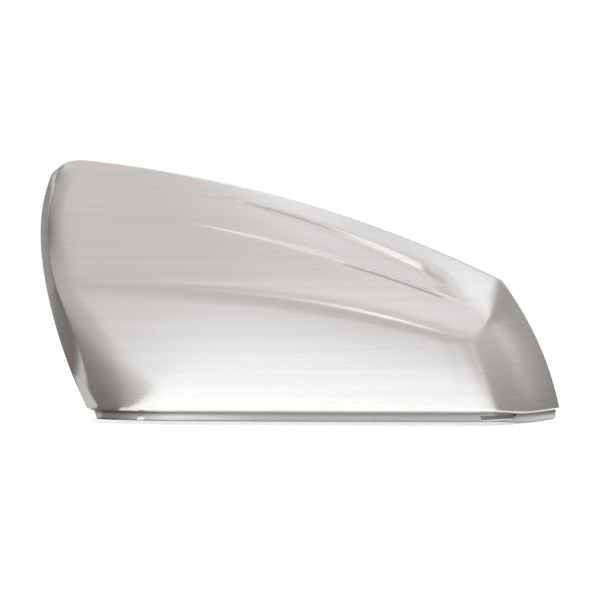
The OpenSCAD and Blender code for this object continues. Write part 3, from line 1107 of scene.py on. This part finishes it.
def satin_plating():
    material = bpy.data.materials.new("satin_plating")
    material.use_nodes = True
    nodes = material.node_tree.nodes
    links = material.node_tree.links
    shader = nodes["Principled BSDF"]
    shader.inputs["Metallic"].default_value = 1.0
    grain = nodes.new("ShaderNodeGroup")
    grain.node_tree = GRAIN
    grain.inputs["Length"].default_value = GRAIN_LENGTH
    grain.inputs["Spacing"].default_value = GRAIN_SPACING
    bright_share = range_of(nodes, links, grain.outputs["Broad"], 0.3, 0.6, 0.0, 1.0)
    tone = mix_of(nodes, links, bright_share, PLATE_COLOUR)
    tone.inputs["A"].default_value = PLATE_DULL
    # Painted shade: the stored share darkens the grain's tone towards the shade colour.
    shade = mix_of(nodes, links, attribute_of(nodes, "painted_shade_share"), PAINTED_SHADE_COLOUR)
    links.new(tone.outputs["Result"], shade.inputs["A"])
    links.new(shade.outputs["Result"], shader.inputs["Base Color"])
    rough = range_of(nodes, links, grain.outputs["Fine"], 0.3, 0.7, *PLATE_ROUGHNESS)
    links.new(rough, shader.inputs["Roughness"])
    bump = nodes.new("ShaderNodeBump")
    bump.inputs["Strength"].default_value = GRAIN_STRENGTH
    bump.inputs["Distance"].default_value = GRAIN_HEIGHT
    links.new(grain.outputs["Fine"], bump.inputs["Height"])
    links.new(bump.outputs["Normal"], shader.inputs["Normal"])
    return material


PLATING = satin_plating()
for piece in [cover] + small_parts:
    piece.data.materials.clear()
    piece.data.materials.append(PLATING)
print("plated", 1 + len(small_parts), "pieces")

# %% [markdown]
# ## The studio
# The real cover was pictured on white, and its floor hardly keeps a shadow. Strong lamps would bleach
# the metal, so the floor and the world are white only where the camera, a reflection or a view through
# glass meets them, and they light the cover at a plain level.

# %% The white background
FLOOR_SIZE = 6.0
FLOOR_COLOUR = (0.8, 0.8, 0.8, 1.0)
FLOOR_LIFT = 0.42
WORLD_LIGHT = 0.75
WORLD_WHITE = 1.0
WHITE = (1.0, 1.0, 1.0, 1.0)


def math_of(nodes, links, operation, first, second):
    """A sum, product or maximum of a socket and a second socket or number."""
    node = nodes.new("ShaderNodeMath")
    node.operation = operation
    links.new(first, node.inputs[0])
    if isinstance(second, float):
        node.inputs[1].default_value = second
    else:
        links.new(second, node.inputs[1])
    return node.outputs[0]


def white_where_seen(nodes, links):
    """1 for rays that see the background directly, in metal or through glass, else 0."""
    path = nodes.new("ShaderNodeLightPath")
    seen = math_of(nodes, links, "MAXIMUM", path.outputs["Is Camera Ray"], path.outputs["Is Glossy Ray"])
    return math_of(nodes, links, "MAXIMUM", seen, path.outputs["Is Transmission Ray"])


print("the background's own strength is", WORLD_LIGHT, "and", WORLD_WHITE, "where it is seen")

# %% Floor and world


def make_floor():
    bm = bmesh.new()
    bmesh.ops.create_grid(bm, x_segments=1, y_segments=1, size=FLOOR_SIZE / 2)
    floor = link_piece("studio_floor", bm)
    material = bpy.data.materials.new("white_floor")
    material.use_nodes = True
    nodes = material.node_tree.nodes
    links = material.node_tree.links
    shader = nodes["Principled BSDF"]
    shader.inputs["Base Color"].default_value = FLOOR_COLOUR
    shader.inputs["Roughness"].default_value = 1.0
    shader.inputs["Specular IOR Level"].default_value = 0.0
    shader.inputs["Emission Color"].default_value = WHITE
    lift = math_of(nodes, links, "MULTIPLY", white_where_seen(nodes, links), FLOOR_LIFT)
    links.new(lift, shader.inputs["Emission Strength"])
    floor.data.materials.append(material)
    floor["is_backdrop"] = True
    return floor


def make_world():
    world = bpy.data.worlds.new("white_studio")
    bpy.context.scene.world = world
    world.use_nodes = True
    nodes = world.node_tree.nodes
    links = world.node_tree.links
    background = nodes["Background"]
    background.inputs["Color"].default_value = WHITE
    seen = white_where_seen(nodes, links)
    links.new(range_of(nodes, links, seen, 0.0, 1.0, WORLD_LIGHT, WORLD_WHITE), background.inputs["Strength"])


floor = make_floor()
make_world()
print("floor", FLOOR_SIZE, "m wide")

# %% [markdown]
# ## Cards for the reflections
# Bright metal shows its surroundings. Under a plain white world the cover would be flat white, and
# more lamps would only add spots. So this studio has what studios for metal have: plain glowing cards
# that only reflections see, each where one face of the cover looks. White ones light the belt, the
# flute's upper wall and the lower front. Grey ones, a little warmer, tone the upper face, the end wall
# and the flute, and the darkest stand at the left, where the return wall looks.

# %% The cards' glow
GREY_CARD_COLOUR = (1.0, 0.96, 0.92, 1.0)
WHITE_CARD_COLOUR = (1.0, 0.995, 1.03, 1.0)
GREY_TONE = 0.62
WHITE_TONE = 0.84


def card_glow():
    """Glow whose strength is each card's own attribute, blended between its corners."""
    material = bpy.data.materials.new("card_glow")
    material.use_nodes = True
    nodes = material.node_tree.nodes
    links = material.node_tree.links
    nodes.remove(nodes["Principled BSDF"])
    glow = nodes.new("ShaderNodeEmission")
    tone = attribute_of(nodes, "tone")
    links.new(tone, glow.inputs["Strength"])
    white_share = range_of(nodes, links, tone, GREY_TONE, WHITE_TONE, 0.0, 1.0)
    tint = mix_of(nodes, links, white_share, WHITE_CARD_COLOUR)
    tint.inputs["A"].default_value = GREY_CARD_COLOUR
    links.new(tint.outputs["Result"], glow.inputs["Color"])
    links.new(glow.outputs[0], nodes["Material Output"].inputs["Surface"])
    return material


CARD_GLOW = card_glow()
print("cards glow with", CARD_GLOW.name)

# %% Makers of cards
HIDDEN_FROM = ("camera", "diffuse", "transmission", "volume_scatter", "shadow")
cards = []


def make_card(name, corners, tones):
    """A flat card with a tone for each of its four corners."""
    bm = bmesh.new()
    tone = bm.verts.layers.float.new("tone")
    for corner, value in zip(corners, tones):
        bm.verts.new(corner)[tone] = value
    bmesh.ops.contextual_create(bm, geom=bm.verts[:])
    card = link_piece(name, bm)
    card.data.materials.append(CARD_GLOW)
    for kind in HIDDEN_FROM:
        setattr(card, "visible_" + kind, False)
    card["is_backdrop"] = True
    cards.append(card)


def level_card(name, x_span, y_span, height, tones):
    """A level card; its tones go round from the front left corner to the front right one."""
    left, right = x_span
    front, back = y_span
    corners = [(left, front, height), (right, front, height), (right, back, height), (left, back, height)]
    make_card(name, corners, tones)


def upright_card(name, start, end, z_span, tones):
    """An upright card between two places; its tones start low at the first place and go round."""
    low, high = z_span
    make_card(name, [(*start, low), (*end, low), (*end, high), (*start, high)], tones)


def pairs(entries):
    """A number from 1, and each entry with the next one."""
    return [(i + 1, a, b) for i, (a, b) in enumerate(zip(entries[:-1], entries[1:]))]


print("cards are hidden from", len(HIDDEN_FROM), "kinds of rays")

# %% Cards in front
FRONT_Y = -2.4
FRONT_LEFT = (-0.9, FRONT_Y)
FRONT_MIDDLE = (-0.3, FRONT_Y)
FRONT_RIGHT = (2.4, FRONT_Y)
upright_card("front_left_card", FRONT_LEFT, FRONT_MIDDLE, (0.0, 1.0), (0.68, 0.57, 0.58, 0.66))
upright_card("front_card", FRONT_MIDDLE, FRONT_RIGHT, (0.0, 1.0), (0.56, 0.56, 0.58, 0.58))
slanted = [(-1.8, FRONT_Y, 1.0), (2.4, FRONT_Y, 1.0), (2.4, -0.45, 1.52), (-1.8, -0.45, 1.52)]
make_card("front_high_card", slanted, (0.58, 0.58, 0.62, 0.58))
print(len(cards), "cards so far")

# %% Cards at the end wall, over the flute, overhead and on the floor
ROOF = 1.5
UNDER_ROOF = 1.45
FLUTE_LIGHT = 1.3
END_FLOOR = 0.0007
LEFT_FLOOR = 0.0015
streak = [(0.79, 0.60, 0.09), (0.79, 0.74, 0.09), (0.79, 0.88, 0.34), (0.79, 0.66, 0.34)]
make_card("end_streak", streak, (0.56, 0.56, 0.95, 0.95))
level_card("flute_light_left", (-0.3, 0.15), (-1.1, -0.6), FLUTE_LIGHT, (0.60, 0.80, 0.80, 0.66))
level_card("flute_light", (0.15, 0.47), (-1.2, -0.55), FLUTE_LIGHT, (0.80, 2.1, 2.1, 0.80))
level_card("roof_outer_card", (-1.8, -0.5), (-0.45, 2.12), ROOF, (0.24, 0.52, 0.60, 0.40))
level_card("roof_left_card", (-0.5, 0.0), (-0.45, 0.9), ROOF, (0.52, 0.66, 0.60, 0.60))
level_card("roof_right_card", (0.0, 1.6), (-0.45, 0.9), ROOF, (0.68, 0.70, 0.82, 0.66))
level_card("crown_light", (-0.5, 0.5), (0.9, 1.7), ROOF, (0.60, 0.72, 1.00, 1.50))
level_card("back_right_card", (0.5, 1.6), (0.9, 2.12), ROOF, (0.72, 0.80, 0.80, 0.80))
level_card("lens_light", (0.74, 1.08), (1.48, 2.08), UNDER_ROOF, (1.1, 1.3, 1.5, 1.3))
level_card("back_high_card", (-1.6, 3.2), (2.12, 6.0), ROOF, (1.10, 0.46, 0.40, 1.10))
level_card("end_floor_card", (0.14, 0.8), (-0.05, 1.6), END_FLOOR, (0.22, 0.30, 0.30, 0.22))
level_card("left_floor_card", (-0.16, -0.1), (-0.002, 0.06), LEFT_FLOOR, (0.6, 0.6, 0.6, 0.6))
print(len(cards), "cards so far")

# %% The belt's light, as x, y, half its width and tone along a bent strip
BELT_LIGHT = [
    (-0.60, -0.06, 0.07, 0.62),
    (-0.33, -0.17, 0.07, 0.90),
    (0.00, -0.05, 0.07, 1.00),
    (0.30, 0.24, 0.09, 1.05),
    (0.53, 0.56, 0.11, 1.15),
    (0.74, 0.92, 0.11, 1.05),
]
for i, start, end in pairs(BELT_LIGHT):
    corners = [
        (start[0], start[1] - start[2], UNDER_ROOF),
        (end[0], end[1] - end[2], UNDER_ROOF),
        (end[0], end[1] + end[2], UNDER_ROOF),
        (start[0], start[1] + start[2], UNDER_ROOF),
    ]
    make_card("belt_light_%d" % i, corners, (start[3], end[3], end[3], start[3]))
print(len(cards), "cards so far")

# %% The floor in front, as y and tone, and the right side, as y and tones low and high
FRONT_FLOOR = [(-0.06, 1.15), (-0.2, 0.95), (-0.35, 0.78), (-0.6, 0.65), (-1.2, 0.56), (-2.4, 0.54)]
END_TONES = [
    (-0.70, 0.62, 0.64),
    (-0.35, 0.56, 0.62),
    (-0.10, 0.32, 0.64),
    (0.10, 0.26, 0.64),
    (0.50, 0.24, 0.58),
    (0.90, 0.17, 0.36),
    (1.60, 0.17, 0.32),
    (2.40, 0.26, 0.36),
]
BAND_SPAN = (-2.4, 2.4)
BAND_HEIGHT = 0.0005
END_X = 0.8
END_LOW = (0.0, 0.35)
END_HIGH = (0.35, 0.9)
for i, near, far in pairs(FRONT_FLOOR):
    tones = (far[1], far[1], near[1], near[1])
    level_card("floor_band_%d" % i, BAND_SPAN, (far[0], near[0]), BAND_HEIGHT, tones)
for i, near, far in pairs(END_TONES):
    start = (END_X, near[0])
    end = (END_X, far[0])
    upright_card("end_low_%d" % i, start, end, END_LOW, (near[1], far[1], far[2], near[2]))
    upright_card("end_high_%d" % i, start, end, END_HIGH, (near[2], far[2], far[2], near[2]))
print(len(cards), "cards so far")

# %% Floor and walls at the left, as bearing and tones on rings round the cover's left foot
CORNER = (-0.085, -0.012)
RINGS = (0.003, 0.06, 1.3)
WEDGE_HEIGHT = 0.001
TALL_WALL = (0.0, 1.1)
LOW_WALL = (0.0, 0.5)
LOW_WALL_BEARING = 120
# The tones at the ring nearest the foot are mostly lower: a painted shadow of the cover on the floor, as the
# metal reflects it.
FLOOR_TONES = [
    (-10, 0.48, 1.04, 0.66),
    (8, 0.40, 0.92, 0.66),
    (28, 0.38, 0.78, 0.60),
    (45, 0.38, 0.50, 0.46),
    (62, 0.28, 0.33, 0.30),
    (80, 0.20, 0.22, 0.20),
    (125, 0.16, 0.16, 0.16),
    (178, 0.16, 0.30, 0.40),
]
WALL_TONES = [
    (16, 0.66),
    (24, 0.66),
    (38, 0.46),
    (50, 0.34),
    (65, 0.25),
    (82, 0.17),
    (115, 0.18),
    (135, 0.26),
    (172, 0.36),
]


def place_at(bearing, reach):
    """A place seen from the cover's left foot; bearings run from the camera round to the left."""
    turn = math.radians(bearing)
    return (CORNER[0] - reach * math.sin(turn), CORNER[1] - reach * math.cos(turn))


for i, start, end in pairs(FLOOR_TONES):
    for k in (0, 1):
        places = [
            place_at(start[0], RINGS[k]),
            place_at(start[0], RINGS[k + 1]),
            place_at(end[0], RINGS[k + 1]),
            place_at(end[0], RINGS[k]),
        ]
        tones = (start[k + 1], start[k + 2], end[k + 2], end[k + 1])
        make_card("floor_wedge_%d_%d" % (i, k + 1), [(*place, WEDGE_HEIGHT) for place in places], tones)
for i, start, end in pairs(WALL_TONES):
    z_span = TALL_WALL if start[0] < LOW_WALL_BEARING else LOW_WALL
    tones = (start[1], end[1], end[1], start[1])
    upright_card("left_wall_%d" % i, place_at(start[0], RINGS[2]), place_at(end[0], RINGS[2]), z_span, tones)
print(len(cards), "cards in all")

# %% [markdown]
# ## The key light
# One large softbox, above the cover and a little to the left, gives the floor its faint shadow. A sun
# lamp would draw that shadow hard. The metal doesn't show the lamp itself, because the cards already
# hold its tones.

# %% The key light
key_shape = bpy.data.lights.new("key_softbox", "AREA")
key_shape.shape = "RECTANGLE"
key_shape.size = 1.6
key_shape.size_y = 1.0
key_shape.energy = 14.0
key = bpy.data.objects.new("key_softbox", key_shape)
key.location = (-0.3, -0.7, 1.7)
key.rotation_euler = (math.radians(22), 0.0, math.radians(-12))
key.visible_glossy = False
bpy.context.scene.collection.objects.link(key)
print("key light of", key_shape.energy, "W")

# %% [markdown]
# ## Colour handling and the bounds
# The Standard view keeps the tones as they are written. The dressed cover should stay in the CAD box, and its
# bounds are printed.

# %% Finish
bpy.context.scene.view_settings.view_transform = "Standard"
visual_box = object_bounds()
for axis, (low, high) in enumerate(zip(visual_box[0], visual_box[1])):
    print("XYZ"[axis], round(low / MM, 2), round(high / MM, 2), "mm")
